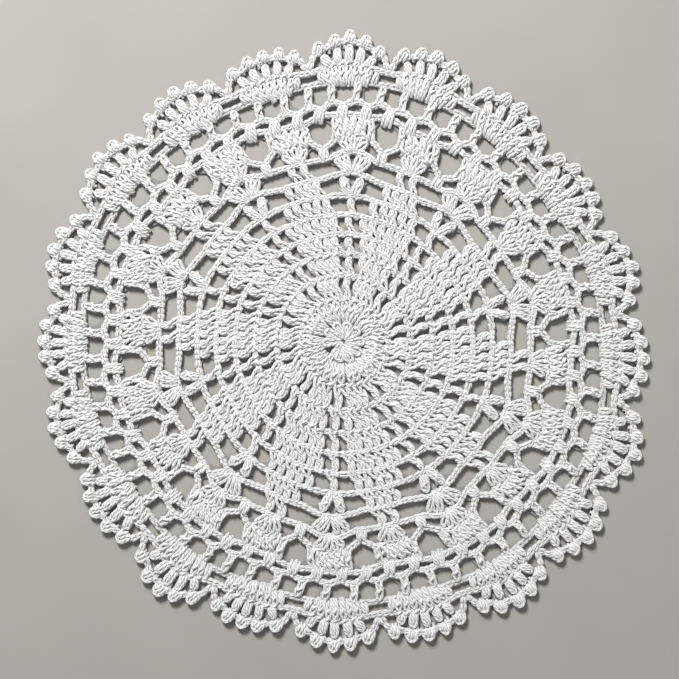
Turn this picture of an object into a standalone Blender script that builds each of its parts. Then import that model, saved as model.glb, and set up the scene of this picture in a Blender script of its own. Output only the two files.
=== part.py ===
"""A round crochet lace doily, worked outwards from its centre in white cotton yarn.

The doily is one flat piece: a scalloped, picot-edged outline with the pattern's openings cut through it.
The even pattern has twenty spokes. The ten even ones are ribs and the ten odd ones are the blocks of
close stitches between them. LIE then says how far out, and how far round, each spoke really rests.
"""

from math import cos, radians, sin

import bpy
import numpy as np

MM = 0.001
THICKNESS = 3.0 * MM  # a double crochet in two-millimetre yarn
SPOKES = 20
SPOKE_ANGLE = 360 / SPOKES
RIBS = range(0, SPOKES, 2)
BLOCKS = range(1, SPOKES, 2)
ALL_SPOKES = range(SPOKES)

# Radii of the even pattern, in millimetres, at which LIE is given
WAIST = 77.1  # the round of V stitches
RING = 105.6  # the round openings between the shells
BAND = 122.3  # the round of single posts
TIP = 152.2  # the middle picot of each fan

# How the doily lies: degrees clockwise that the shells and the fans are turned, and the reach in mm
LIE_COLUMNS = ("shell_turn", "fan_turn", "waist", "ring", "band", "tip")
LIE = (
    (2.9, 1.1, 75.8, 103.8, 122.3, 154.2),
    (3.2, 0.0, 74.9, 102.7, 121.3, 151.2),
    (4.2, 1.1, 74.5, 101.9, 118.3, 148.3),
    (5.1, 2.6, 75.7, 103.6, 116.9, 146.3),
    (5.8, 3.1, 77.1, 105.7, 121.3, 150.7),
    (5.9, 3.0, 78.1, 107.4, 122.8, 151.6),
    (5.3, 2.9, 78.9, 109.6, 126.7, 158.0),
    (4.3, 2.6, 79.4, 110.5, 126.2, 158.4),
    (3.8, 1.6, 79.5, 109.1, 126.7, 158.0),
    (3.6, 1.3, 79.2, 107.0, 123.2, 154.2),
    (3.8, 1.6, 78.9, 106.0, 122.8, 153.8),
    (4.0, 1.7, 78.3, 106.5, 121.3, 150.7),
    (3.8, 0.2, 77.0, 105.8, 123.2, 156.6),
    (3.2, 1.2, 76.2, 104.7, 121.3, 151.7),
    (3.0, 1.1, 76.2, 104.8, 123.2, 152.2),
    (3.1, -0.2, 76.5, 104.9, 122.8, 151.2),
    (3.0, -0.7, 77.1, 105.4, 123.7, 153.2),
    (2.9, 0.6, 77.2, 105.0, 123.2, 154.2),
    (2.9, 1.5, 76.6, 103.8, 121.8, 151.7),
    (3.1, 2.0, 76.3, 103.6, 119.8, 149.3),
)

# The edge of one fan: degrees from its middle, and millimetres that each picot stands in from TIP
PICOTS = ((-6.5, 3.9), (-3.1, 1.0), (0.1, 0.0), (3.3, 1.4), (6.4, 5.0))
# One picot: degrees from its middle, and millimetres in from its own tip
PICOT_LOOP = ((-1.1, 1.5), (-0.55, 0.25), (0.55, 0.25), (1.1, 1.5))
PICOT_GAP = 3.4  # how far the dips between picots lie in from the mean of their tips
FAN_SIDE = ((7.8, 7.8), (8.35, 11.3), (9.0, 13.0))  # from the last picot down to the valley

# Outlines of the openings, in widths clockwise and heights outwards
SHAPES = {
    "shield": (
        (-0.5, 0.3), (-0.3, 0.5), (0.3, 0.5), (0.5, 0.3),
        (0.42, -0.1), (0.12, -0.5), (-0.15, -0.5), (-0.42, -0.1),
    ),
    "block": (
        (-0.5, -0.3), (-0.47, 0.4), (-0.2, 0.5), (0.35, 0.5),
        (0.5, 0.2), (0.45, -0.45), (-0.3, -0.5),
    ),
    "wedge": (
        (-0.5, -0.35), (-0.5, 0.35), (-0.38, 0.5), (0.1, 0.3),
        (0.5, -0.25), (0.42, -0.5), (-0.38, -0.5),
    ),
    "tent": ((-0.5, -0.5), (-0.3, 0.1), (-0.05, 0.5), (0.15, 0.4), (0.5, -0.3), (0.42, -0.5)),
    "notch": ((-0.5, 0.45), (0.45, 0.5), (0.4, 0.15), (0.12, -0.5), (-0.1, -0.5), (-0.42, 0.15)),
    "slit": ((-0.5, -0.35), (-0.45, 0.4), (0.35, 0.5), (0.5, 0.3), (0.4, -0.45), (-0.3, -0.5)),
    "crescent": (
        (-0.5, -0.5), (-0.32, 0.2), (0.0, 0.5), (0.32, 0.2),
        (0.5, -0.5), (0.27, -0.15), (0.0, 0.1), (-0.27, -0.15),
    ),
}

# The openings: which spokes have one, its middle (degrees clockwise of the spoke, and radius), its width
# and height in millimetres, its shape, and whether that shape is mirrored
OPENINGS = (
    (RIBS, -3.7, 58.2, 3.0, 5.6, "slit", False),
    (RIBS, 3.3, 58.2, 3.0, 5.4, "slit", True),
    (RIBS, -4.75, 67.8, 6.6, 6.0, "block", False),
    (RIBS, 4.75, 67.8, 7.0, 6.4, "block", True),
    (RIBS, -7.6, 76.9, 8.8, 6.2, "wedge", False),
    (RIBS, 7.6, 76.9, 10.4, 6.6, "wedge", True),
    (RIBS, 0.0, 80.0, 6.1, 5.6, "notch", False),
    (RIBS, -10.6, 86.3, 15.0, 6.0, "wedge", False),
    (RIBS, 10.6, 86.3, 14.6, 6.2, "wedge", True),
    (RIBS, -0.3, 91.4, 5.6, 4.6, "notch", False),
    (RIBS, -5.1, 98.0, 5.0, 5.0, "tent", False),
    (RIBS, 4.6, 97.3, 4.2, 4.6, "tent", True),
    (BLOCKS, -5.8, 94.6, 11.2, 5.4, "tent", False),
    (BLOCKS, 6.5, 94.8, 7.2, 4.3, "tent", True),
    (ALL_SPOKES, 9.0, RING, 11.2, 11.4, "shield", False),
    (RIBS, 0.2, 110.2, 12.8, 4.8, "crescent", False),
    (BLOCKS, 0.8, 107.0, 12.4, 4.8, "crescent", False),
    (RIBS, 5.0, 115.2, 6.2, 3.6, "slit", False),
    (BLOCKS, 5.4, 113.8, 6.8, 4.0, "slit", False),
    (ALL_SPOKES, -6.9, 122.8, 7.1, 7.6, "block", False),
    (ALL_SPOKES, -0.7, 121.8, 10.2, 6.8, "block", True),
    (ALL_SPOKES, 5.8, 122.4, 7.6, 7.8, "block", False),
    (ALL_SPOKES, -6.4, 137.0, 4.9, 5.8, "tent", True),
    (ALL_SPOKES, 6.4, 136.0, 6.4, 4.5, "tent", True),
)


def lie_at(column, spoke):
    """One column of LIE at a place between two spokes."""
    before = int(spoke // 1)
    share = spoke - before
    index = LIE_COLUMNS.index(column)
    return LIE[before % SPOKES][index] * (1 - share) + LIE[(before + 1) % SPOKES][index] * share


def place(spoke, radius):
    """Where a point of the even pattern lies, in metres. Spokes count clockwise from the top."""
    reach = [0.0] + [lie_at(column, spoke) for column in ("waist", "ring", "band", "tip")]
    distance = np.interp(radius, (0.0, WAIST, RING, BAND, TIP), reach) * MM
    turns = (lie_at("shell_turn", spoke), lie_at("fan_turn", spoke))
    angle = radians(spoke * SPOKE_ANGLE + np.interp(radius, (RING, BAND), turns))
    return distance * sin(angle), distance * cos(angle)


def fan_edge():
    """The edge of one fan, from just after one valley to the next: degrees from its middle, and radius."""
    edge = [(-degrees, TIP - drop) for degrees, drop in reversed(FAN_SIDE[:-1])]
    for number, (middle, drop) in enumerate(PICOTS):
        edge += [(middle + degrees, TIP - drop - inward) for degrees, inward in PICOT_LOOP]
        if number + 1 < len(PICOTS):
            after, after_drop = PICOTS[number + 1]
            edge.append(((middle + after) / 2, TIP - (drop + after_drop) / 2 - PICOT_GAP))
    edge += [(degrees, TIP - drop) for degrees, drop in FAN_SIDE]
    return edge


def outline():
    """The scalloped edge of the doily."""
    edge = fan_edge()
    return [place(fan + degrees / SPOKE_ANGLE, radius) for fan in ALL_SPOKES for degrees, radius in edge]


def opening(spoke, turn, radius, width, height, shape, mirrored):
    """The edge of one opening."""
    side = -1 if mirrored else 1
    edge = []
    for across, outwards in SHAPES[shape]:
        point_radius = radius + outwards * height
        degrees = turn + np.degrees(side * across * width / radius)
        edge.append(place(spoke + degrees / SPOKE_ANGLE, point_radius))
    return edge


def add_loop(curve, points):
    """Adds one closed run of straight edges to a flat curve."""
    spline = curve.splines.new("POLY")
    spline.points.add(len(points) - 1)
    for target, (x, y) in zip(spline.points, points):
        target.co = (x, y, 0.0, 1.0)
    spline.use_cyclic_u = True


def centre_of(points):
    """The middle of the rectangle that holds the points."""
    xs, ys = zip(*points)
    return (min(xs) + max(xs)) / 2, (min(ys) + max(ys)) / 2


def cotton_material():
    """Undyed white cotton, quite matt."""
    material = bpy.data.materials.new("white_cotton")
    material.use_nodes = True
    shader = material.node_tree.nodes["Principled BSDF"]
    shader.inputs["Base Color"].default_value = (0.80, 0.81, 0.80, 1.0)
    shader.inputs["Roughness"].default_value = 0.9
    shader.inputs["Metallic"].default_value = 0.0
    return material


def make_doily(collection):
    """The doily, face up, with the middle of its underside at the origin."""
    edge = outline()
    loops = [edge]
    for spokes, *measures in OPENINGS:
        loops += [opening(spoke, *measures) for spoke in spokes]
    curve = bpy.data.curves.new("doily", "CURVE")
    curve.dimensions = "2D"
    curve.fill_mode = "BOTH"
    curve.extrude = THICKNESS / 2
    curve.resolution_u = 1
    for points in loops:
        add_loop(curve, points)
    curve.materials.append(cotton_material())
    doily = bpy.data.objects.new("doily", curve)
    middle_x, middle_y = centre_of(edge)
    doily.location = (-middle_x, -middle_y, THICKNESS / 2)
    collection.objects.link(doily)


def main():
    for leftover in list(bpy.data.objects):
        bpy.data.objects.remove(leftover, do_unlink=True)
    collection = bpy.data.collections.new("lace_doily")
    bpy.context.scene.collection.children.link(collection)
    make_doily(collection)


main()
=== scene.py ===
"""The looks of a round lace doily, crocheted outwards from its centre in white cotton yarn.

Every stitch is laid as strands of yarn in an even pattern, in millimetres, and the whole pattern is then
mapped to the way the doily really lies, with the same table as the part. In the even pattern an angle is
in degrees clockwise from the top, the ten ribs stand 36 degrees apart and the blocks lie between them.
"""

from math import cos, hypot, pi, radians, sin

import bpy
import numpy as np
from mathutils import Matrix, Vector


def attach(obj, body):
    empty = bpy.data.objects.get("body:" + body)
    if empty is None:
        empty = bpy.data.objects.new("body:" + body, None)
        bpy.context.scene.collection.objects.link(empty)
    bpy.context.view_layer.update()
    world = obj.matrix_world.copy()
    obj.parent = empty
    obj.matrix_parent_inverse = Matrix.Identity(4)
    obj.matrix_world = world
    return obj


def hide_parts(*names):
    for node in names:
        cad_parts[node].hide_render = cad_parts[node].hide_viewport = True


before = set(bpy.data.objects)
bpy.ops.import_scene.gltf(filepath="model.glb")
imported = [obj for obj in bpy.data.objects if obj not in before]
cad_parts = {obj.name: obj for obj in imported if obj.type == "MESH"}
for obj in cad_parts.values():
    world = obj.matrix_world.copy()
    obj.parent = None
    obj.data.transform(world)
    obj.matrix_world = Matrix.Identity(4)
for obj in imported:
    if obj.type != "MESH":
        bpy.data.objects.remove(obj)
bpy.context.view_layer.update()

MM = 0.001
SPOKES = 20
SPOKE_ANGLE = 360 / SPOKES
REPEAT = 2 * SPOKE_ANGLE  # from one rib to the next
RIB_ANGLES = [number * REPEAT for number in range(10)]
SPOKE_ANGLES = [number * SPOKE_ANGLE for number in range(SPOKES)]

# How the doily lies, as in the part
WAIST = 77.1
RING = 105.6
BAND = 122.3
TIP = 152.2
LIE_COLUMNS = ("shell_turn", "fan_turn", "waist", "ring", "band", "tip")
LIE = (
    (2.9, 1.1, 75.8, 103.8, 122.3, 154.2),
    (3.2, 0.0, 74.9, 102.7, 121.3, 151.2),
    (4.2, 1.1, 74.5, 101.9, 118.3, 148.3),
    (5.1, 2.6, 75.7, 103.6, 116.9, 146.3),
    (5.8, 3.1, 77.1, 105.7, 121.3, 150.7),
    (5.9, 3.0, 78.1, 107.4, 122.8, 151.6),
    (5.3, 2.9, 78.9, 109.6, 126.7, 158.0),
    (4.3, 2.6, 79.4, 110.5, 126.2, 158.4),
    (3.8, 1.6, 79.5, 109.1, 126.7, 158.0),
    (3.6, 1.3, 79.2, 107.0, 123.2, 154.2),
    (3.8, 1.6, 78.9, 106.0, 122.8, 153.8),
    (4.0, 1.7, 78.3, 106.5, 121.3, 150.7),
    (3.8, 0.2, 77.0, 105.8, 123.2, 156.6),
    (3.2, 1.2, 76.2, 104.7, 121.3, 151.7),
    (3.0, 1.1, 76.2, 104.8, 123.2, 152.2),
    (3.1, -0.2, 76.5, 104.9, 122.8, 151.2),
    (3.0, -0.7, 77.1, 105.4, 123.7, 153.2),
    (2.9, 0.6, 77.2, 105.0, 123.2, 154.2),
    (2.9, 1.5, 76.6, 103.8, 121.8, 151.7),
    (3.1, 2.0, 76.3, 103.6, 119.8, 149.3),
)
LIE_BY_COLUMN = {
    name: np.array([row[column] for row in LIE + LIE[:1]]) for column, name in enumerate(LIE_COLUMNS)
}
MIDDLE = (0.126, 0.140)  # where the middle of the doily's box lies from its first ring, mm

# The yarn
YARN_WIDTH = 1.85
CHAIN_PITCH = 2.9
POST_HEIGHT = 10.0  # of the double crochet as it is drawn below
ROUNDNESS = 6  # sides of a strand
SEED = 7
random = np.random.default_rng(SEED)

# How far hand work strays, in mm
LOOSENESS = 0.12  # each point of a strand
STITCH_STRAY = 0.2  # both ends of a stitch
CLOSE_STRAY = 0.3  # the same in a close row
SHORT_STRAY = 0.15
STITCH_LIFT = 0.1
LINK_LIFT = 0.08  # a loop of a chain or a ridge
HEAD_STRAY = 0.12
BRAID_STRAY = 0.25
JOINT_STRAY = 0.15
STITCH_WIDTHS = (0.92, 1.08)  # from narrow to wide, as a share of the usual
CLOSE_WIDTHS = (0.93, 1.1)
CHEVRON_SIZES = (0.9, 1.15)
CHEVRON_TURN = 14  # degrees


def spot(angle, radius):
    """A point of the even pattern."""
    return np.array((radius * sin(radians(angle)), radius * cos(radians(angle))))


def laid(points):
    """Where points of the even pattern lie, in metres."""
    x, y, z = np.array(points, float).T
    radius = np.hypot(x, y)
    spoke = np.degrees(np.arctan2(x, y)) / SPOKE_ANGLE % SPOKES
    lie = {name: np.interp(spoke, range(SPOKES + 1), column) for name, column in LIE_BY_COLUMN.items()}
    knots = (0.0, WAIST, RING, BAND, TIP)
    reach = (0.0 * radius, lie["waist"], lie["ring"], lie["band"], lie["tip"])
    distance = reach[-1] + radius - TIP
    for inner, outer, low, high in zip(knots[-2::-1], knots[:0:-1], reach[-2::-1], reach[:0:-1]):
        share = (radius - inner) / (outer - inner)
        distance = np.where(radius <= outer, low + share * (high - low), distance)
    share = np.clip((radius - RING) / (BAND - RING), 0, 1)
    turn = lie["shell_turn"] + share * (lie["fan_turn"] - lie["shell_turn"])
    angle = np.radians(spoke * SPOKE_ANGLE + turn)
    return np.stack(
        (
            (distance * np.sin(angle) - MIDDLE[0]) * MM,
            (distance * np.cos(angle) - MIDDLE[1]) * MM,
            z * MM,
        ),
        axis=1,
    )


# The stitches as they show from the right side: (clockwise, outwards, up), in mm. A double crochet is drawn
# ten millimetres tall, from the ridge that it is worked into to the ridge that it makes.
FOOT_STRAND = ((0.9, -0.9, 1.5), (0.75, 0.9, 2.2), (0.5, 2.6, 2.3), (0.6, 4.2, 1.9), (0.9, 5.4, 1.3))
HEAD_LOOP = (
    (-0.1, 2.8, 1.2), (-0.75, 4.6, 2.3), (-1.0, 6.4, 2.5), (-0.85, 8.2, 2.4), (0.0, 9.2, 2.3),
    (0.85, 8.2, 2.2), (0.9, 6.4, 2.2), (0.8, 4.8, 2.0), (0.9, 3.4, 1.1),
)
HEAD_HEART = ((0.1, 3.4, 1.3), (-0.05, 5.0, 2.4), (-0.1, 6.6, 2.6), (0.0, 8.2, 2.4), (0.0, 9.2, 1.4))
SLANTED_WRAP = (
    (3.0, -1.3, 2.0), (2.9, 0.6, 2.6), (2.3, 2.4, 2.5), (1.3, 4.0, 2.7), (0.1, 5.6, 2.7), (-1.2, 7.0, 1.3),
)
CLOSE_WIDTH = 1.38  # a double crochet in a close row is drawn this much wider, so that it fills its place
UPRIGHT_LOOP = (
    (-0.9, -1.0, 1.2), (-0.95, 0.8, 2.5), (-1.05, 3.2, 2.7), (-1.1, 6.0, 2.6), (-0.85, 8.0, 2.5),
    (0.0, 8.9, 2.2), (0.9, 8.0, 2.4), (1.1, 6.0, 2.5), (1.0, 3.2, 2.6), (0.9, 0.8, 2.4), (0.85, -1.0, 1.2),
)
HEART = ((0.0, -1.2, 1.2), (0.05, 1.0, 2.7), (-0.05, 4.0, 2.9), (0.05, 7.0, 2.8), (0.0, 9.0, 1.2))
LOW_HEART = ((0.1, -1.0, 1.0), (0.0, 1.2, 1.8), (0.1, 4.0, 1.9), (-0.1, 7.0, 1.8), (0.0, 9.0, 1.1))
FLARED_LOOP = (
    (-2.3, -0.8, 1.2), (-1.6, 0.6, 2.2), (-1.15, 2.8, 2.6), (-1.1, 5.4, 2.5), (-1.35, 7.6, 2.4),
    (-0.6, 9.3, 2.1), (0.8, 9.1, 2.1), (1.4, 7.4, 2.3), (1.15, 5.2, 2.4), (1.1, 2.8, 2.5), (1.5, 0.8, 2.1),
    (2.3, -0.6, 1.2),
)
WRAP = ((-1.7, 4.2, 1.3), (-0.9, 4.6, 2.9), (0.3, 5.4, 3.2), (1.3, 6.2, 2.6), (1.9, 6.8, 1.3))
SHORT_LOOP = (
    (-0.8, -1.4, 1.2), (-0.9, 0.2, 2.7), (-0.9, 2.8, 2.9), (0.0, 4.6, 2.4),
    (0.9, 2.8, 2.6), (0.9, 0.2, 2.5), (0.8, -1.4, 1.2),
)
SHORT_HEIGHT = 5.0
# One loop of chain: (share of its length ahead, sideways, up). Both arms are drawn from one.
ARM = ((0.25, 0.7, 2.1), (0.8, 0.95, 2.4))
LOOP_TAIL = (0.0, -1.1, 1.0)  # its narrow end, behind its start
LOOP_NOSE = (0.45, 0.8, 1.1)  # its wide end, past the start of the next one
# The two strands of the ridge over one stitch: the first arches over its head
CAP = ((-0.1, 0.8, 1.1), (0.2, 0.45, 2.2), (0.5, -0.1, 2.9), (0.8, -0.75, 2.4), (1.05, -1.5, 1.1))
BACK = ((-0.1, 0.6, 1.1), (0.3, 1.3, 1.9), (0.7, 1.3, 1.9), (1.1, 0.6, 1.1))
# A picot: the sideways shift and the half length of each of its strands, which lean clockwise
PICOT_STRANDS = ((-1.35, 2.9), (0.25, 3.4), (1.75, 2.7))
PICOT_LEAN = radians(25)
PICOT_MIDDLE = 4.1
PICOT_HEIGHT = 8.0
STROKE = ((-1.0, 1.1), (-0.55, 2.5), (0.0, 3.0), (0.55, 2.6), (1.0, 1.1))  # share of its half length, up
PETAL_LOOP = (
    (-0.15, -0.2, 1.5), (-0.6, 2.2, 2.3), (-1.2, 4.6, 2.6), (-1.75, 6.8, 2.6), (-1.6, 8.3, 2.5),
    (0.0, 9.2, 2.4), (1.6, 8.3, 2.5), (1.75, 6.8, 2.6), (1.2, 4.6, 2.4), (0.6, 2.2, 2.1), (0.15, -0.2, 1.3),
)
PETAL_HEART = ((0.0, 1.0, 1.2), (0.0, 3.0, 1.9), (-0.1, 5.0, 2.1), (0.1, 6.6, 2.2), (0.1, 8.0, 1.6))
FAN_LOOP = (
    (-0.6, -1.0, 1.2), (-0.7, 0.8, 2.4), (-0.95, 3.2, 2.7), (-1.2, 6.0, 2.6), (-1.0, 8.0, 2.5),
    (0.0, 8.9, 2.2), (1.0, 8.0, 2.4), (1.15, 6.0, 2.5), (0.9, 3.2, 2.5), (0.65, 0.8, 2.3), (0.55, -1.0, 1.2),
)
FAN_WRAP = ((-1.6, 3.4, 1.5), (-0.8, 4.2, 3.0), (0.3, 5.2, 3.2), (1.3, 6.2, 2.4), (1.7, 7.0, 1.4))
# A chevron: the clockwise one of its two strands, in shares of its size. The other one is its mirror image
# and crosses just below it at the feet.
CHEVRON_SINK = 0.15
CHEVRON_ARM = ((0.05, -1.3, 1.3), (0.25, -0.6, 2.5), (0.55, 0.2, 3.0), (0.8, 0.9, 2.5), (0.95, 1.5, 1.3))
# The strand over the top of a picot
PICOT_ARCH = (
    (-2.6, -0.6, 1.1), (-2.7, 1.6, 2.0), (-2.0, 4.8, 2.7), (-0.4, 6.9, 2.8), (1.6, 7.0, 2.6),
    (2.9, 5.2, 2.3), (3.0, 2.6, 1.8), (2.6, 0.4, 1.1),
)
RIDGE_WIDTH = 0.75  # of the cord over a close row, as a share of a plain chain
RIDGE_RISE = 0.2  # how far that cord stands above a plain chain
LOWEST = YARN_WIDTH / 2 + 0.05  # no strand's middle lies lower, so that none dips below the underside


class Work:
    """The strands of one piece of the doily, in the even pattern."""

    def __init__(self):
        self.strands = []

    def drawn(self, foot, head, points, tall=POST_HEIGHT, wide=1.0, closed=False):
        """A strand that is drawn for a stitch from (0, 0) up to (0, tall), laid between foot and head."""
        height = hypot(*(head - foot))
        along = (head - foot) / height
        right = np.array((along[1], -along[0]))
        places = [foot + right * x * wide + along * y * height / tall for x, y, _ in points]
        run = np.column_stack((places, [z for _, _, z in points]))
        run = run + random.normal(0, LOOSENESS, (len(points), 3))
        run[:, 2] = np.maximum(run[:, 2], LOWEST)
        self.strands.append((run, closed))

    def stitch(self, foot, head, parts, tall=POST_HEIGHT, wide=1.0, loose=STITCH_STRAY):
        """A stitch of several strands, a little out of true as a hand works it."""
        foot = foot + random.normal(0, loose, 2)
        head = head + random.normal(0, loose, 2)
        lift = random.normal(0, STITCH_LIFT)
        wide = wide * random.uniform(*STITCH_WIDTHS)
        for points in parts:
            self.drawn(foot, head, [(x, y, z + lift) for x, y, z in points], tall, wide)

    def double_crochet(self, foot, head, wide=1.0):
        """One in a close row, where its foot slants out of the ridge."""
        wide = CLOSE_WIDTH * wide * random.uniform(*CLOSE_WIDTHS)
        parts = (FOOT_STRAND, HEAD_HEART, HEAD_LOOP, SLANTED_WRAP)
        self.stitch(foot, head, parts, wide=wide, loose=CLOSE_STRAY)

    def shell_double_crochet(self, foot, head):
        """One of a shell: two strands side by side."""
        self.stitch(foot, head, (UPRIGHT_LOOP,))

    def post(self, foot, head, wide=1.0):
        """A double crochet that stands alone, with the yarn-over wrapped round it."""
        self.stitch(foot, head, (FLARED_LOOP, WRAP, LOW_HEART), wide=wide)

    def single_crochet(self, foot, head, wide=1.0):
        """A short, low stitch of one loop."""
        self.stitch(foot, head, (SHORT_LOOP,), SHORT_HEIGHT, wide, loose=SHORT_STRAY)

    def petal(self, foot, head):
        """A pair of the first round's stitches: a drop-shaped loop with a strand inside it."""
        self.stitch(foot, head, (PETAL_LOOP, PETAL_HEART))

    def picot(self, foot, tip):
        """A little knot of slanting strands."""
        lean = np.array((sin(PICOT_LEAN), cos(PICOT_LEAN)))
        aside = np.array((lean[1], -lean[0]))
        strokes = []
        for shift, half in PICOT_STRANDS:
            middle = aside * shift + (0.0, PICOT_MIDDLE)
            strokes.append([(*(middle + lean * share * half), z) for share, z in STROKE])
        self.stitch(foot, tip, [PICOT_ARCH, *strokes], PICOT_HEIGHT)

    def chevron(self, middle, size):
        """Two short strands that meet at their feet, one of the loops that crown a shell."""
        turn = radians(random.normal(0, CHEVRON_TURN))
        size = size * random.uniform(*CHEVRON_SIZES)
        x, y = middle / hypot(*middle)
        up = np.array((x * cos(turn) + y * sin(turn), y * cos(turn) - x * sin(turn)))
        for side in (-1, 1):
            arm = [(side * x, y, z - CHEVRON_SINK * side) for x, y, z in CHEVRON_ARM]
            self.drawn(middle, middle + up * size, arm, tall=1.0, wide=size)

    def chain_loop(self, start, end, sunk=0.0, wide=1.0):
        """One loop of chain from start to end."""
        length = hypot(*(end - start))
        lift = random.normal(0, LINK_LIFT) - sunk
        arm = [(side * wide, share * length, z + lift) for share, side, z in ARM]
        side, ahead, z = LOOP_NOSE
        arm.append((side, length + ahead, z))
        other = [(-side, ahead, z) for side, ahead, z in reversed(arm)]
        self.drawn(start, end, [LOOP_TAIL, *arm, *other], tall=length, closed=True)

    def ridge_loop(self, start, end, sunk=0.0):
        """The two strands along the top of one stitch, worked counterclockwise."""
        length = hypot(*(end - start))
        lift = random.normal(0, LINK_LIFT) - sunk
        for strand in (CAP, BACK):
            points = [(side, share * length, z + lift) for share, side, z in strand]
            self.drawn(start, end, points, tall=length)

    def ridge(self, heads, chained=(), sunk=0.0, braided=False):
        """The row of loops along the tops of a whole round. Heads are in the order of work, and chained
        tells which of them are chains with no stitch under them. Braided, the others are a cord of two
        loops to a stitch."""
        heads = [head + random.normal(0, HEAD_STRAY, 2) for head in heads]
        joints = [(head + after) / 2 for head, after in zip(heads, heads[1:] + heads[:1])]
        for number, end in enumerate(joints):
            start = joints[number - 1]
            if number in chained:
                self.chain_loop(start, end, sunk)
            elif braided:
                middle = (start + end) / 2 + random.normal(0, BRAID_STRAY, 2)
                self.chain_loop(start, middle, -RIDGE_RISE, RIDGE_WIDTH)
                self.chain_loop(middle, end, -RIDGE_RISE, RIDGE_WIDTH)
            else:
                self.ridge_loop(start, end, sunk)

    def chain(self, path, links=None):
        """A chain of even loops along a path."""
        path = np.array(path, float)
        reach = np.concatenate(([0.0], np.cumsum(np.hypot(*np.diff(path, axis=0).T))))
        count = links or max(1, round(reach[-1] / CHAIN_PITCH))
        stops = np.linspace(0, reach[-1], count + 1)
        joints = np.stack([np.interp(stops, reach, path[:, axis]) for axis in (0, 1)], axis=1)
        joints[1:-1] += random.normal(0, JOINT_STRAY, (count - 1, 2))
        for start, end in zip(joints, joints[1:]):
            self.chain_loop(start, end)


def spread(first, last, count):
    """Angles with equal steps from first to last, both of them included."""
    return [first + (last - first) * number / (count - 1) for number in range(count)]


# The tops of rounds one to nine, mm from the centre
TOPS = (10.8, 21.6, 32.9, 43.7, 53.5, 63.1, 72.4, 81.5, 91.1)

# Rounds two to seven: the angles from a rib of its own stitch, of the block's stitches and of the chains
CLOSE_ROUNDS = (
    ((0.0,), (12.0, 24.0), ()),
    ((1.0,), (12.3, 19.0, 25.7), (6.6, 31.3)),
    ((1.5,), (10.7, 16.6, 22.5, 28.4), (6.0, 33.0)),
    ((0.6,), (8.7, 13.6, 18.5, 23.5, 28.4), (4.5, 32.6)),
    ((-0.2,), (7.0, 11.3, 15.6, 19.9, 24.2, 28.5), (3.3, 32.2)),
    ((0.0,), (9.8, 13.9, 18.0, 22.1, 26.2), (3.4, 6.4, 29.6, 32.6)),
)
FOOT_SHIFT = 2.05  # how far clockwise of its head a slanted stitch has its foot, mm
SLIT_RISE = 0.7  # how far the chains over a slit bow outwards
RIB_WIDTH = 0.85  # of a rib's stitch, as a share of a block's
FIRST_BRAIDED = 5  # the first round whose ridge shows as a cord
# Round two grows out of the petals: degrees from a rib to a petal's middle and to the block's first stitch,
# the share of its step at which a stitch has its foot, and how far its head is turned back
PETAL_TURN = 11.0
FIRST_OF_BLOCK = 12.0
FOOT_SHARE = 0.78
TURNED_BACK = 2.0


def close_the_round(work, stops, repeats=RIB_ANGLES, sunk=0.0, braided=True):
    """The ridge of a round. A stop is an angle, a radius, and whether it is a chain."""
    turn = repeats[1] - repeats[0]
    ordered = sorted(((angle % turn, *rest) for angle, *rest in stops), reverse=True)
    heads, chains = [], set()
    for start in reversed(repeats):
        for angle, radius, chained in ordered:
            if chained:
                chains.add(len(heads))
            heads.append(spot(start + angle, radius))
    work.ridge(heads, chains, sunk, braided)


def mirrored(stops):
    """The same stops at both sides of a rib."""
    return [(side * angle, *rest) for side in (-1, 1) for angle, *rest in stops]


START_OF_WORK = 216.0  # here a chain stands for a petal, with a small opening beside it
FIRST_RING = 1.4  # the ring that the petals start from
START_CHAIN = ((4.0, FIRST_RING), (0.0, 6.0), (-2.0, TOPS[0]))


def work_centre(work):
    """Round one: nine petals and the chain that starts the work, around the first ring."""
    for start in RIB_ANGLES:
        if start == START_OF_WORK:
            work.chain([spot(start + angle, radius) for angle, radius in START_CHAIN])
        else:
            work.petal(spot(start + PETAL_TURN, FIRST_RING), spot(start + PETAL_TURN, TOPS[0]))


def work_close_rounds(work, first, last):
    """Rounds of ribs and blocks, from round first to round last."""
    for number in range(first, last + 1):
        ribs, blocks, chains = CLOSE_ROUNDS[number - 2]
        foot, head = TOPS[number - 2], TOPS[number - 1]
        straight = max(0.0, 1.25 - number / 4)  # the innermost rounds lean less
        back = np.degrees(straight * FOOT_SHIFT / foot)
        for start in RIB_ANGLES:
            for angle in ribs + blocks:
                if number == 2:
                    work.stitch(
                        spot(start + PETAL_TURN + (angle - FIRST_OF_BLOCK) * FOOT_SHARE, foot),
                        spot(start + angle - TURNED_BACK, head),
                        (FAN_LOOP, LOW_HEART, FAN_WRAP), wide=1.1, loose=CLOSE_STRAY,
                    )
                else:
                    wide = RIB_WIDTH if angle in ribs else 1.0
                    work.double_crochet(spot(start + angle - back, foot), spot(start + angle, head), wide)
        stops = [(angle, head, False) for angle in ribs + blocks]
        stops += [(angle, head + SLIT_RISE, True) for angle in chains]
        close_the_round(work, stops, braided=number >= FIRST_BRAIDED)


# Round eight: one leg of the V, in degrees from the rib and mm, the block, and the ridge over the V
V_FOOT = (1.0, TOPS[6] + 0.4)
V_HEAD = (3.7, TOPS[7] + 1.8)
V_WIDTH = 1.4
V_BLOCK = spread(13.0, 23.0, 4)
V_RIDGE = (
    (1.2, 85.0, True), (3.7, 84.0, False), (5.6, 83.2, True),
    (7.5, 82.5, True), (9.3, 81.8, True), (11.1, 81.3, True),
)


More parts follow.
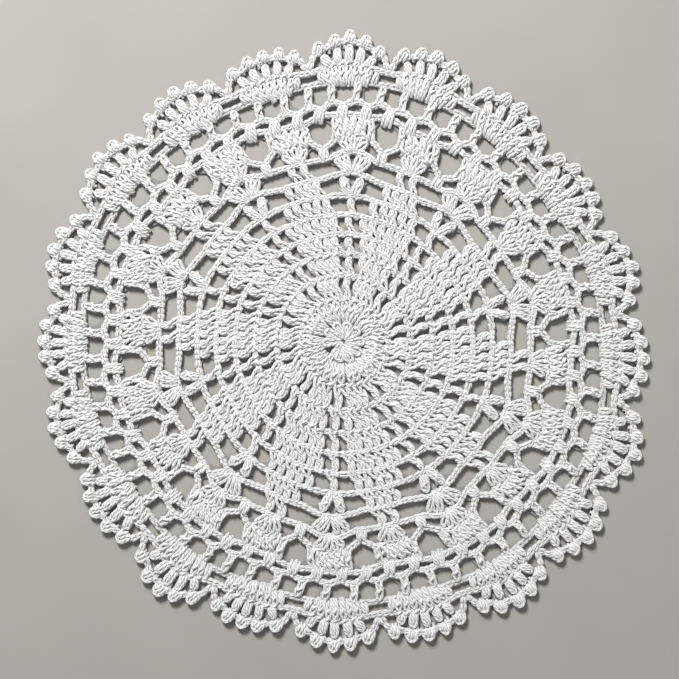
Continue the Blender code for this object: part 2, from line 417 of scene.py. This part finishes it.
def work_v_stitches(work):
    """Round eight: a V stitch on each rib, four double crochets on each block, chains between."""
    foot, head = TOPS[6], TOPS[7]
    for start in RIB_ANGLES:
        for side in (-1, 1):
            low, high = (spot(start + side * angle, radius) for angle, radius in (V_FOOT, V_HEAD))
            work.stitch(low, high, (UPRIGHT_LOOP, HEART, FAN_WRAP), wide=V_WIDTH)
        for angle in V_BLOCK:
            work.double_crochet(spot(start + angle, foot), spot(start + angle, head))
    close_the_round(work, mirrored(V_RIDGE) + [(angle, head, False) for angle in V_BLOCK])


# Round nine: the heads of a shell at one side of the rib, its feet, the two stitches of the block, and the
# ridge from the rib to the block
SHELL_HEADS = ((2.3, 94.6), (4.2, 93.6), (5.9, 92.0))
SHELL_FOOT_RISE = 2.8  # mm above the tops of round eight
SHELL_FOOT_TURN = 0.2  # degrees from the rib
SHELL_FOOT_SHARE = 0.2  # the share of its lean that a stitch has at its foot
SHELL_BLOCK = (15.9, 20.1)
SHELL_RIDGE = (
    (0.9, 95.4, True), (2.7, 94.9, False), (4.4, 93.9, False), (6.0, 92.4, False), (7.7, 91.5, True),
    (9.5, 91.3, True), (11.3, 91.2, True), (13.0, 91.0, True), (14.6, 90.9, True), (16.3, TOPS[8], False),
)


def work_shells(work):
    """Round nine: a shell on each V stitch, two double crochets on each block, long chains between."""
    foot, head = TOPS[7], TOPS[8]
    for start in RIB_ANGLES:
        for side in (-1, 1):
            for lean, reach in SHELL_HEADS:
                foot_turn = side * (SHELL_FOOT_TURN + lean * SHELL_FOOT_SHARE)
                work.shell_double_crochet(
                    spot(start + foot_turn, foot + SHELL_FOOT_RISE), spot(start + side * lean, reach)
                )
        for angle in SHELL_BLOCK:
            work.double_crochet(spot(start + angle, foot), spot(start + angle, head))
    close_the_round(work, mirrored(SHELL_RIDGE))


# Rounds ten and eleven, over ribs and over blocks: the foot of the shell, its heads (angle, radius), and
# the little loops that crown it (angle, radius, size)
SHELL_OVER_RIB = (
    (0.0, 94.6),
    ((-4.0, 100.4), (-2.1, 103.0), (0.0, 104.0), (2.1, 103.2), (4.0, 100.8)),
    ((-3.5, 103.4, 1.9), (-1.75, 104.6, 2.0), (0.0, 105.1, 2.0), (1.75, 104.7, 2.0), (3.5, 103.5, 1.9),
     (-3.0, 106.2, 1.8), (-1.2, 107.1, 1.9), (0.6, 107.3, 1.9), (2.4, 106.8, 1.9),
     (-2.6, 108.8, 1.8), (-0.8, 109.3, 1.9), (1.0, 109.4, 1.9), (2.8, 108.9, 1.8)),
)
SHELL_OVER_BLOCK = (
    (0.5, 91.4),
    ((-3.5, 98.0), (-1.6, 100.6), (0.5, 101.6), (2.4, 100.8), (4.2, 98.6)),
    ((-3.2, 101.0, 1.9), (-1.4, 102.2, 2.0), (0.5, 102.7, 2.0), (2.3, 102.3, 2.0), (4.0, 101.1, 1.9),
     (-2.8, 103.5, 1.8), (-0.9, 104.4, 1.9), (1.0, 104.7, 1.9), (2.9, 104.0, 1.9),
     (-1.9, 106.0, 1.8), (0.1, 106.6, 1.9), (2.1, 106.2, 1.8)),
)
SHELL_SPREAD = 0.22  # the share of its lean that a stitch of these shells has at its foot
# At both sides of a shell: the chains down to the valley, and the foot of the tall post
VALLEY = 96.8
SIDE_CHAIN = ((8.7, VALLEY), (6.9, 98.6), (5.2, 101.2))
SIDE_POST_FOOT = (5.2, 100.6)
SIDE_POST_TURN = 4.7
SIDE_POST_DROP = 0.5  # its head below the arch
SIDE_POST_WIDTH = 0.82
# The single crochets that hold the valley
VALLEY_STITCHES = (8.35, 9.65)
VALLEY_FOOT = 91.8
VALLEY_HEAD = VALLEY + 0.8
VALLEY_WIDTH = 0.78
# The radius of the arch over each of these
ARCH_OVER_RIB = 112.6
ARCH_OVER_OPENING = 113.0
SHOULDER_OF_BLOCK = {-1: 111.8, 1: 110.8}


def work_shell_tops(work):
    """Rounds ten and eleven: a shell over each rib and each block, and chains down to the valleys."""
    for number, start in enumerate(SPOKE_ANGLES):
        over_rib = number % 2 == 0
        (turn, foot), heads, crown = SHELL_OVER_RIB if over_rib else SHELL_OVER_BLOCK
        for angle, radius in heads:
            work.shell_double_crochet(
                spot(start + turn + (angle - turn) * SHELL_SPREAD, foot), spot(start + angle, radius)
            )
        tops = [spot(start + angle, radius + 0.2) for angle, radius in reversed(heads)]
        for before, after in zip(tops, tops[1:]):
            work.ridge_loop(before, after)
        for angle, radius, size in crown:
            work.chevron(spot(start + angle, radius), size)
        for side in (-1, 1):
            work.chain([spot(start + side * angle, radius) for angle, radius in SIDE_CHAIN])
            arch = ARCH_OVER_RIB if over_rib else SHOULDER_OF_BLOCK[side]
            angle, radius = SIDE_POST_FOOT
            work.post(
                spot(start + side * angle, radius),
                spot(start + side * SIDE_POST_TURN, arch - SIDE_POST_DROP), SIDE_POST_WIDTH,
            )
        for angle in VALLEY_STITCHES:
            work.single_crochet(
                spot(start + angle, VALLEY_FOOT), spot(start + angle, VALLEY_HEAD), VALLEY_WIDTH
            )


# The ring of chains: degrees from a rib, and radius
RING_OF_ARCHES = (
    (-4.5, 112.5), (-3.0, 112.8), (-1.5, 112.6), (0.0, 112.6), (1.5, 112.6), (3.0, 112.8),
    (4.5, 112.5), (6.0, 112.2), (7.5, 112.9), (9.0, 113.5), (10.5, 113.3), (12.0, 112.4),
    (13.5, 111.5), (15.0, 110.8), (16.5, 110.6), (18.0, 110.6), (19.5, 110.6), (21.0, 110.6),
    (22.5, 110.4), (24.0, 110.4), (25.5, 111.2), (27.0, 113.0), (28.5, 113.4), (30.0, 112.6),
)


def work_arches(work):
    """Round twelve: the ring of chains over the shells and the round openings."""
    close_the_round(work, [(angle, radius, True) for angle, radius in RING_OF_ARCHES])


# Rounds thirteen and fourteen, in degrees from a rib or block. Each post stands over a slit, and each
# group of single crochets lies between two slits.
GROUP_FEET = (-2.9, 3.1, 9.1)
GROUP_HEADS = (-1.6, 4.6, 10.5)
POST_FEET = (-4.6, 1.5, 7.6)
POST_HEADS = (-3.7, 2.8, 8.8)
GROUP_RIDGE = 116.5
POST_RIDGE = 118.6
BAND_OUTER = 127.8
LOW_BLOCK = 1.2  # how much further in round thirteen lies over the blocks
GROUP_STEPS = (-0.65, 0.65)  # the two single crochets of a group
GROUP_SINK = 1.6  # its feet below the arch
GROUP_RISE = 1.3  # its heads above the ridge
GROUP_WIDTH = 0.84
GROUP_LINKS = (-0.55, 0.55)  # the loops of the ridge over a group
POST_SINK = 0.4
POST_WIDTH = 0.98
SLIT_LINKS = (-1.0, 0.3, 1.6)  # the loops over a slit, from the foot of its post
BAND_LINKS = 13  # loops of the outer ridge from one fan to the next
BAND_SINK = 0.8  # that ridge lies under the feet of the fans


def work_band(work):
    """Rounds thirteen and fourteen: sixty groups of single crochets, then sixty posts."""
    stops = []
    for number, start in enumerate(SPOKE_ANGLES):
        low = 0.0 if number % 2 == 0 else LOW_BLOCK
        for foot, head in zip(GROUP_FEET, GROUP_HEADS):
            arch = ARCH_OVER_OPENING if foot > 5 else ARCH_OVER_RIB - low
            for step in GROUP_STEPS:
                work.single_crochet(
                    spot(start + foot + step, arch - GROUP_SINK),
                    spot(start + head + step, GROUP_RIDGE - low + GROUP_RISE), GROUP_WIDTH,
                )
            stops += [(start + head + step, GROUP_RIDGE - low, True) for step in GROUP_LINKS]
        for foot, head in zip(POST_FEET, POST_HEADS):
            ridge = POST_RIDGE - low
            work.post(spot(start + foot, ridge - POST_SINK), spot(start + head, BAND_OUTER), POST_WIDTH)
            stops += [(start + foot + step, ridge, True) for step in SLIT_LINKS]
    close_the_round(work, stops, (0.0, 360.0))
    last = SPOKE_ANGLE * (BAND_LINKS - 1) / BAND_LINKS
    stops = [(angle, BAND_OUTER, True) for angle in spread(0.0, last, BAND_LINKS)]
    close_the_round(work, stops, SPOKE_ANGLES, sunk=BAND_SINK)


FAN_FOOT = 126.6
FAN_TOP = 136.4
FAN_SHARES = (-1.0, -0.67, -0.33, 0.0, 0.33, 0.67, 1.0)
FAN_SPREAD = {"feet": 4.0, "heads": 5.2}  # degrees from its middle to its outermost stitch
FAN_DROP = 1.6  # how much lower the outermost head is
FAN_WIDTH = 0.95
BESIDE_FAN = ((6.0, FAN_FOOT + 2.0), (6.6, 133.4))  # a single crochet: its foot and its head
BETWEEN_FANS = (
    (6.5, 134.0, True), (7.7, 133.7, True), (9.0, 133.5, True), (10.3, 133.7, True), (11.5, 134.0, True),
)


def fan_head(share):
    """The angle and the radius of a head, by its share of the way from the fan's middle to its side."""
    return share * FAN_SPREAD["heads"], FAN_TOP - FAN_DROP * share * share


def work_fans(work):
    """Round fifteen: twenty fans of seven double crochets."""
    stops = list(BETWEEN_FANS)
    for share in FAN_SHARES:
        angle, radius = fan_head(share)
        stops.append((angle, radius, False))
        for start in SPOKE_ANGLES:
            work.stitch(
                spot(start + share * FAN_SPREAD["feet"], FAN_FOOT), spot(start + angle, radius),
                (FAN_LOOP, FAN_WRAP), wide=FAN_WIDTH, loose=CLOSE_STRAY,
            )
    for start in SPOKE_ANGLES:
        for side in (-1, 1):
            work.single_crochet(*(spot(start + side * angle, radius) for angle, radius in BESIDE_FAN))
    close_the_round(work, stops, SPOKE_ANGLES, braided=False)


FAN_PICOTS = ((-6.5, 3.9), (-3.1, 1.0), (0.1, 0.0), (3.3, 1.4), (6.4, 5.0))
FAN_POSTS = (-4.3, -2.2, 0.1, 2.2, 4.2)
POST_LEAN = 0.86  # the share of a picot's angle at which the head of its post stands
FAN_HALF = 4.9  # degrees from a fan's middle at which its ridge is FAN_DROP lower
PICOT_REACH = 8.6  # from a picot's foot to its tip
PICOT_INSET = 0.6  # of its drawn tip
EDGE_RISE = 1.4  # how far a post reaches into its picot
EDGE_WIDTH = 1.35
EDGE_CHAIN_RISE = 3.0  # how far above their feet chains join the picots
FAN_SIDE = ((8.7, 135.2), (8.2, 138.0), (7.4, 141.6))  # the chain at a fan's side, out of the valley


def work_edge(work):
    """Round sixteen: five double crochets with a picot on each, on every fan."""
    for start in SPOKE_ANGLES:
        tops = []
        for (turn, drop), post in zip(FAN_PICOTS, FAN_POSTS):
            top = TIP - drop - PICOT_REACH
            foot = FAN_TOP - FAN_DROP * (post / FAN_HALF) ** 2
            work.stitch(
                spot(start + post, foot), spot(start + turn * POST_LEAN, top + EDGE_RISE),
                (UPRIGHT_LOOP, HEART), wide=EDGE_WIDTH,
            )
            work.picot(spot(start + turn, top), spot(start + turn, TIP - drop - PICOT_INSET))
            tops.append(spot(start + turn, top + EDGE_CHAIN_RISE))
        for before, after in zip(tops, tops[1:]):
            work.chain([after, before], links=2)
        for side, top in ((-1, tops[0]), (1, tops[-1])):
            work.chain([*(spot(start + side * angle, radius) for angle, radius in FAN_SIDE), top])


def yarn_tree():
    """Geometry nodes that turn a line into a strand, and keep how far along and around it each point is."""
    tree = bpy.data.node_groups.new("strand_of_yarn", "GeometryNodeTree")
    for way in ("INPUT", "OUTPUT"):
        tree.interface.new_socket("Geometry", in_out=way, socket_type="NodeSocketGeometry")
    nodes, link = tree.nodes, tree.links.new
    lines, strands = nodes.new("NodeGroupInput"), nodes.new("NodeGroupOutput")
    ring = nodes.new("GeometryNodeCurvePrimitiveCircle")
    ring.inputs["Resolution"].default_value = ROUNDNESS
    ring.inputs["Radius"].default_value = YARN_WIDTH / 2 * MM
    keep_round = nodes.new("GeometryNodeStoreNamedAttribute")
    keep_round.data_type = "FLOAT_VECTOR"
    keep_round.inputs["Name"].default_value = "strand_round"
    keep_run = nodes.new("GeometryNodeStoreNamedAttribute")
    keep_run.data_type = "FLOAT"
    keep_run.inputs["Name"].default_value = "strand_run"
    place = nodes.new("GeometryNodeInputPosition")
    run = nodes.new("GeometryNodeSplineParameter")
    sweep = nodes.new("GeometryNodeCurveToMesh")
    sweep.inputs["Fill Caps"].default_value = True
    link(ring.outputs["Curve"], keep_round.inputs["Geometry"])
    link(place.outputs["Position"], keep_round.inputs["Value"])
    link(lines.outputs[0], keep_run.inputs["Geometry"])
    link(run.outputs["Length"], keep_run.inputs["Value"])
    link(keep_run.outputs["Geometry"], sweep.inputs["Curve"])
    link(keep_round.outputs["Geometry"], sweep.inputs["Profile Curve"])
    link(sweep.outputs["Mesh"], strands.inputs[0])
    return tree


SMOOTH_ANGLE = radians(60)


def make_only(thing):
    """Deselects everything else, so that operators act on this object alone."""
    bpy.ops.object.select_all(action="DESELECT")
    thing.select_set(True)
    bpy.context.view_layer.objects.active = thing


def spun(name, work, tree, material):
    """One piece of lace: all its strands as one mesh."""
    curve = bpy.data.curves.new(name, "CURVE")
    curve.dimensions = "3D"
    for points, closed in work.strands:
        spline = curve.splines.new("NURBS")
        spline.points.add(len(points) - 1)
        for target, point in zip(spline.points, laid(points)):
            target.co = (*point, 1.0)
        spline.order_u = 3
        spline.use_cyclic_u = closed
        spline.use_endpoint_u = not closed
        spline.resolution_u = 2
    piece = bpy.data.objects.new(name, curve)
    bpy.context.scene.collection.objects.link(piece)
    make_only(piece)
    piece.modifiers.new("strands", "NODES").node_group = tree
    bpy.ops.object.convert(target="MESH")
    piece = bpy.context.object
    bpy.ops.object.shade_smooth_by_angle(angle=SMOOTH_ANGLE)
    piece.data.materials.clear()
    piece.data.materials.append(material)
    return piece


class Value:
    """A socket of a material, so that shader maths reads as an expression."""

    def __init__(self, tree, socket=None):
        self.tree = tree
        self.socket = socket

    def node(self, kind, values, output=0, **settings):
        """Adds a node with these settings and inputs, and gives one of its outputs."""
        node = self.tree.nodes.new(kind)
        for name, setting in settings.items():
            setattr(node, name, setting)
        for key, value in values.items():
            if isinstance(value, Value):
                self.tree.links.new(value.socket, node.inputs[key])
            else:
                node.inputs[key].default_value = value
        return Value(self.tree, node.outputs[output])

    def maths(self, operation, *values):
        return self.node("ShaderNodeMath", dict(enumerate((self, *values))), operation=operation)

    def into(self, socket):
        self.tree.links.new(self.socket, socket)

    def __add__(self, other):
        return self.maths("ADD", other)

    def __mul__(self, other):
        return self.maths("MULTIPLY", other)

    __radd__ = __add__
    __rmul__ = __mul__


def new_material(name):
    """A material, its shader, and a start for its nodes."""
    material = bpy.data.materials.new(name)
    material.use_nodes = True
    tree = material.node_tree
    return material, tree.nodes["Principled BSDF"].inputs, Value(tree)


SHARE, LOW_COLOUR, HIGH_COLOUR, COLOUR_OUT = 0, 6, 7, 2  # sockets of a Mix node that mixes colours


def between(start, share, low, high):
    """A colour that goes from low to high."""
    low, high = (colour if isinstance(colour, Value) else (*colour, 1.0) for colour in (low, high))
    values = {SHARE: share, LOW_COLOUR: low, HIGH_COLOUR: high}
    return start.node("ShaderNodeMix", values, output=COLOUR_OUT, data_type="RGBA")


COOL_WHITE = ((0.36, 0.365, 0.37), (0.95, 0.955, 0.95))  # in the shade, and in the light
WARM_WHITE = ((0.37, 0.365, 0.35), (0.96, 0.955, 0.93))
# Painted shade: the inner cloth is coloured dark grey, as the shade between the strands.
INSIDE_PAINTED_SHADE = ((0.22, 0.22, 0.215), (0.32, 0.32, 0.315))
PLIES = 3
PLY_LAY = 7.5 * MM  # the length in which the plies turn once around
SHADE_HEIGHT = (0.9 * MM, 3.1 * MM)  # below these heights the white darkens towards the bottom: painted shade under the top strands
UNEVEN_LAY = 2.5  # how far the twist strays, in radians
PLY_RELIEF = 0.24 * MM
FIBRE_RELIEF = 0.07 * MM
CLOTH_RELIEF = 0.2 * MM
PLY_SHAPE = 0.6  # under 1, so that the plies are broad and the grooves between them narrow


def cotton_yarn():
    """Matt white cotton: three plies twisted together, with short loose fibres."""
    material, shader, start = new_material("white_cotton_yarn")
    run = start.node("ShaderNodeAttribute", {}, output="Fac", attribute_name="strand_run")
    ring = start.node("ShaderNodeAttribute", {}, output="Vector", attribute_name="strand_round")
    across = start.node("ShaderNodeSeparateXYZ", {0: ring}, output="X")
    up = start.node("ShaderNodeSeparateXYZ", {0: ring}, output="Y")
    turn = up.maths("ARCTAN2", across)
    place = start.node("ShaderNodeTexCoord", {}, output="Object")
    slubs = start.node("ShaderNodeTexNoise", {"Vector": place, "Scale": 330.0, "Detail": 2.0})
    uneven = slubs * UNEVEN_LAY
    plies = ((turn + run * (2 * pi / PLY_LAY) + uneven) * PLIES).maths("SINE") * 0.5 + 0.5
    fibres = start.node(
        "ShaderNodeTexNoise", {"Vector": place, "Scale": 2400.0, "Detail": 3.0, "Roughness": 0.7}
    )
    wash = start.node("ShaderNodeTexNoise", {"Vector": place, "Scale": 22.0, "Detail": 2.0})
    # Painted shade: the yarn's colour darkens towards the bottom of the strands, below SHADE_HEIGHT.
    height = start.node("ShaderNodeSeparateXYZ", {0: place}, output="Z")
    painted_light_by_height = height.node(
        "ShaderNodeMapRange", {"Value": height, "From Min": SHADE_HEIGHT[0], "From Max": SHADE_HEIGHT[1]}
    )
    rounded = plies.maths("POWER", PLY_SHAPE)
    # Painted shade as well: the colour darkens in the narrow grooves between the plies. Fibres and slubs
    # vary its tone at random.
    light = (rounded * 0.5 + fibres * 0.25 + slubs * 0.1 + 0.14) * (painted_light_by_height * 0.8 + 0.2)
    cool = between(start, light, *COOL_WHITE)
    warm = between(start, light, *WARM_WHITE)
    between(start, wash, cool, warm).into(shader["Base Color"])
    (fibres * 0.12 + 0.82).into(shader["Roughness"])
    relief = rounded * PLY_RELIEF + fibres * FIBRE_RELIEF
    bump = start.node("ShaderNodeBump", {"Height": relief, "Distance": 1.0, "Strength": 1.0})
    bump.into(shader["Normal"])
    shader["Sheen Weight"].default_value = 0.15
    shader["Specular IOR Level"].default_value = 0.3
    return material


def painted_shade_cloth():
    """Cotton texture in dark grey: painted shade for the inner cloth, which shows only between the strands.
    """
    material, shader, start = new_material("painted_shade_inside")
    place = start.node("ShaderNodeTexCoord", {}, output="Object")
    fibres = start.node("ShaderNodeTexNoise", {"Vector": place, "Scale": 1500.0, "Detail": 4.0})
    between(start, fibres, *INSIDE_PAINTED_SHADE).into(shader["Base Color"])
    bump = start.node("ShaderNodeBump", {"Height": fibres * CLOTH_RELIEF, "Distance": 1.0})
    bump.into(shader["Normal"])
    shader["Roughness"].default_value = 0.9
    return material


def pale_floor():
    """A plain pale surface, slightly mottled."""
    material, shader, start = new_material("pale_floor")
    place = start.node("ShaderNodeTexCoord", {}, output="Object")
    mottle = start.node("ShaderNodeTexNoise", {"Vector": place, "Scale": 14.0, "Detail": 6.0})
    between(start, mottle, FLOOR_DARK, FLOOR_LIGHT).into(shader["Base Color"])
    shader["Roughness"].default_value = 0.8
    return material


FLOOR_DARK = (0.36, 0.338, 0.31)
FLOOR_LIGHT = (0.42, 0.397, 0.365)
FLOOR_SIZE = 3.0


def make_floor():
    """The plain floor that the doily lies on, which is no part of it."""
    bpy.ops.object.select_all(action="DESELECT")
    bpy.ops.mesh.primitive_plane_add(size=FLOOR_SIZE)
    floor = bpy.context.object
    floor.name = "floor"
    floor.data.materials.append(pale_floor())


def area_light(name, place, size, power):
    """A soft square light that faces the doily."""
    bpy.ops.object.light_add(type="AREA", location=place)
    lamp = bpy.context.object
    lamp.name = name
    lamp.data.size = size
    lamp.data.energy = power
    lamp.rotation_euler = Vector(place).to_track_quat("Z", "Y").to_euler()


SKY_COLOUR = (0.95, 0.98, 1.0, 1.0)
SKY_STRENGTH = 0.22


def make_lights():
    """Light from beyond the top left, as in the photograph, and a little from all around."""
    area_light("window", place=(-0.40, 0.95, 0.95), size=0.35, power=27.0)
    area_light("room", place=(0.9, -0.7, 1.2), size=1.2, power=2.0)
    world = bpy.data.worlds.new("studio")
    world.use_nodes = True
    sky = world.node_tree.nodes["Background"].inputs
    sky["Color"].default_value = SKY_COLOUR
    sky["Strength"].default_value = SKY_STRENGTH
    bpy.context.scene.world = world
    bpy.context.scene.view_settings.view_transform = "Standard"


VIEW_WIDTH = 333.4 * MM  # what the photograph shows from side to side
VIEW_MIDDLE = (-1.99 * MM, 0.99 * MM)
LENS = 70.0
SENSOR = 36.0
LACE_MIDDLE = 2.0 * MM  # the height at which the view has that width


def make_camera():
    """Straight above, as in the photograph."""
    height = VIEW_WIDTH * LENS / SENSOR + LACE_MIDDLE
    bpy.ops.object.camera_add(location=(*VIEW_MIDDLE, height), rotation=(0.0, 0.0, 0.0))
    camera = bpy.context.object
    camera.data.lens = LENS
    camera.data.sensor_width = SENSOR
    bpy.context.scene.camera = camera


# The inner cloth: openings by which spokes have one, the middle (degrees clockwise of the spoke, and
# radius), the width and the height, mm
RIBS = RIB_ANGLES
BLOCKS = [rib + SPOKE_ANGLE for rib in RIB_ANGLES]
INNER_OPENINGS = (
    ([rib for rib in RIB_ANGLES if rib != START_OF_WORK + REPEAT], -7.0, 10.6, 1.9, 2.0),
    ([START_OF_WORK], 20.0, 8.0, 3.6, 3.6),
    (RIBS, -5.0, 27.5, 2.2, 6.2),
    (RIBS, 6.8, 27.5, 2.2, 6.2),
    (RIBS, -2.9, 38.5, 2.8, 6.6),
    (RIBS, 6.0, 38.5, 2.8, 6.6),
    (RIBS, -3.3, 48.6, 3.2, 6.6),
    (RIBS, 4.4, 48.6, 3.2, 6.6),
    (RIBS, -3.7, 58.2, 3.6, 6.4),
    (RIBS, 3.3, 58.2, 3.6, 6.4),
    (RIBS, -4.75, 67.8, 7.6, 7.4),
    (RIBS, 4.75, 67.8, 7.6, 7.4),
    (RIBS, -7.8, 76.9, 11.0, 7.6),
    (RIBS, 7.8, 76.9, 11.0, 7.6),
    (RIBS, 0.0, 80.4, 5.4, 6.0),
    (RIBS, -10.6, 86.4, 16.0, 7.0),
    (RIBS, 10.6, 86.4, 16.0, 7.0),
    (RIBS, -0.3, 91.4, 5.4, 5.0),
    (RIBS, -5.1, 98.0, 5.4, 5.6),
    (RIBS, 4.6, 97.3, 5.0, 5.4),
    (BLOCKS, -5.8, 94.6, 12.0, 6.0),
    (BLOCKS, 6.5, 94.8, 8.0, 5.0),
    (SPOKE_ANGLES, 9.0, 105.2, 12.2, 12.0),
    (RIBS, 0.2, 110.6, 12.0, 3.0),
    (BLOCKS, 0.8, 107.8, 12.0, 3.0),
    (RIBS, -5.3, 115.0, 6.4, 3.2),
    (RIBS, 0.5, 115.0, 6.4, 3.2),
    (RIBS, 6.8, 115.0, 6.8, 3.6),
    (BLOCKS, -5.3, 114.2, 6.8, 3.6),
    (BLOCKS, 0.5, 113.8, 6.8, 3.4),
    (BLOCKS, 6.8, 114.2, 7.0, 4.0),
    (SPOKE_ANGLES, -6.9, 122.8, 8.4, 8.8),
    (SPOKE_ANGLES, -0.7, 122.0, 11.0, 8.0),
    (SPOKE_ANGLES, 5.8, 122.5, 8.4, 8.8),
)
INNER_EDGE = ((-9.0, 129.3), (-6.9, 130.2), (-4.9, 136.2), (0.0, 138.0), (4.9, 136.2), (6.9, 130.2))
INNER_Z = (0.5, 1.0)  # its underside and its top
OPENING_CORNERS = 8
OPENING_REACH = 0.54  # a corner's distance from the middle, as a share of the width or the height
MERGE_DISTANCE = 0.01 * MM


def ground_outline():
    """The edge of the inner cloth, a little inside the fans."""
    return [spot(start + angle, radius) for start in SPOKE_ANGLES for angle, radius in INNER_EDGE]


def ground_opening(start, angle, radius, width, height):
    """A rounded opening of the inner cloth."""
    edge = []
    for step in range(OPENING_CORNERS):
        turn = 2 * pi * (step + 0.5) / OPENING_CORNERS
        across = OPENING_REACH * width * cos(turn)
        outwards = OPENING_REACH * height * sin(turn)
        edge.append(spot(start + angle + np.degrees(across / radius), radius + outwards))
    return edge


def make_ground():
    """The thin cloth inside the stitches, with an opening wherever the lace has one."""
    loops = [ground_outline()]
    for spokes, *measures in INNER_OPENINGS:
        loops += [ground_opening(start, *measures) for start in spokes]
    curve = bpy.data.curves.new("lace_ground", "CURVE")
    curve.dimensions = "2D"
    curve.fill_mode = "BOTH"
    curve.extrude = (INNER_Z[1] - INNER_Z[0]) / 2 * MM
    for loop in loops:
        spline = curve.splines.new("POLY")
        spline.points.add(len(loop) - 1)
        for target, (x, y, _) in zip(spline.points, laid([(x, y, 0.0) for x, y in loop])):
            target.co = (x, y, 0.0, 1.0)
        spline.use_cyclic_u = True
    ground = bpy.data.objects.new("lace_ground", curve)
    ground.location.z = sum(INNER_Z) / 2 * MM
    bpy.context.scene.collection.objects.link(ground)
    make_only(ground)
    bpy.ops.object.convert(target="MESH")
    bpy.ops.object.transform_apply(location=True, rotation=True, scale=True)
    ground = bpy.context.object
    bpy.ops.object.mode_set(mode="EDIT")
    bpy.ops.mesh.select_all(action="SELECT")
    bpy.ops.mesh.remove_doubles(threshold=MERGE_DISTANCE)
    bpy.ops.mesh.normals_make_consistent(inside=False)
    bpy.ops.object.mode_set(mode="OBJECT")
    ground.data.materials.clear()
    # Its dark grey colour is painted shade between the strands.
    ground.data.materials.append(painted_shade_cloth())
    return ground


def work_first_rounds(work):
    work_centre(work)
    work_close_rounds(work, 2, 5)


def work_middle_rounds(work):
    work_close_rounds(work, 6, 7)
    work_v_stitches(work)


def work_shell_rounds(work):
    work_shells(work)
    work_shell_tops(work)


LACE = (
    ("lace_centre", work_first_rounds),
    ("lace_blocks", work_middle_rounds),
    ("lace_shells", work_shell_rounds),
    ("lace_arches", work_arches),
    ("lace_band", work_band),
    ("lace_fans", work_fans),
    ("lace_edge", work_edge),
)


def main():
    make_floor()
    make_lights()
    make_camera()
    tree, cotton = yarn_tree(), cotton_yarn()
    lace = []
    for name, crochet in LACE:
        work = Work()
        crochet(work)
        lace.append(spun(name, work, tree, cotton))
    ground = make_ground()
    for piece in (ground, *lace):
        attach(piece, "root")
        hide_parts("doily")


main()
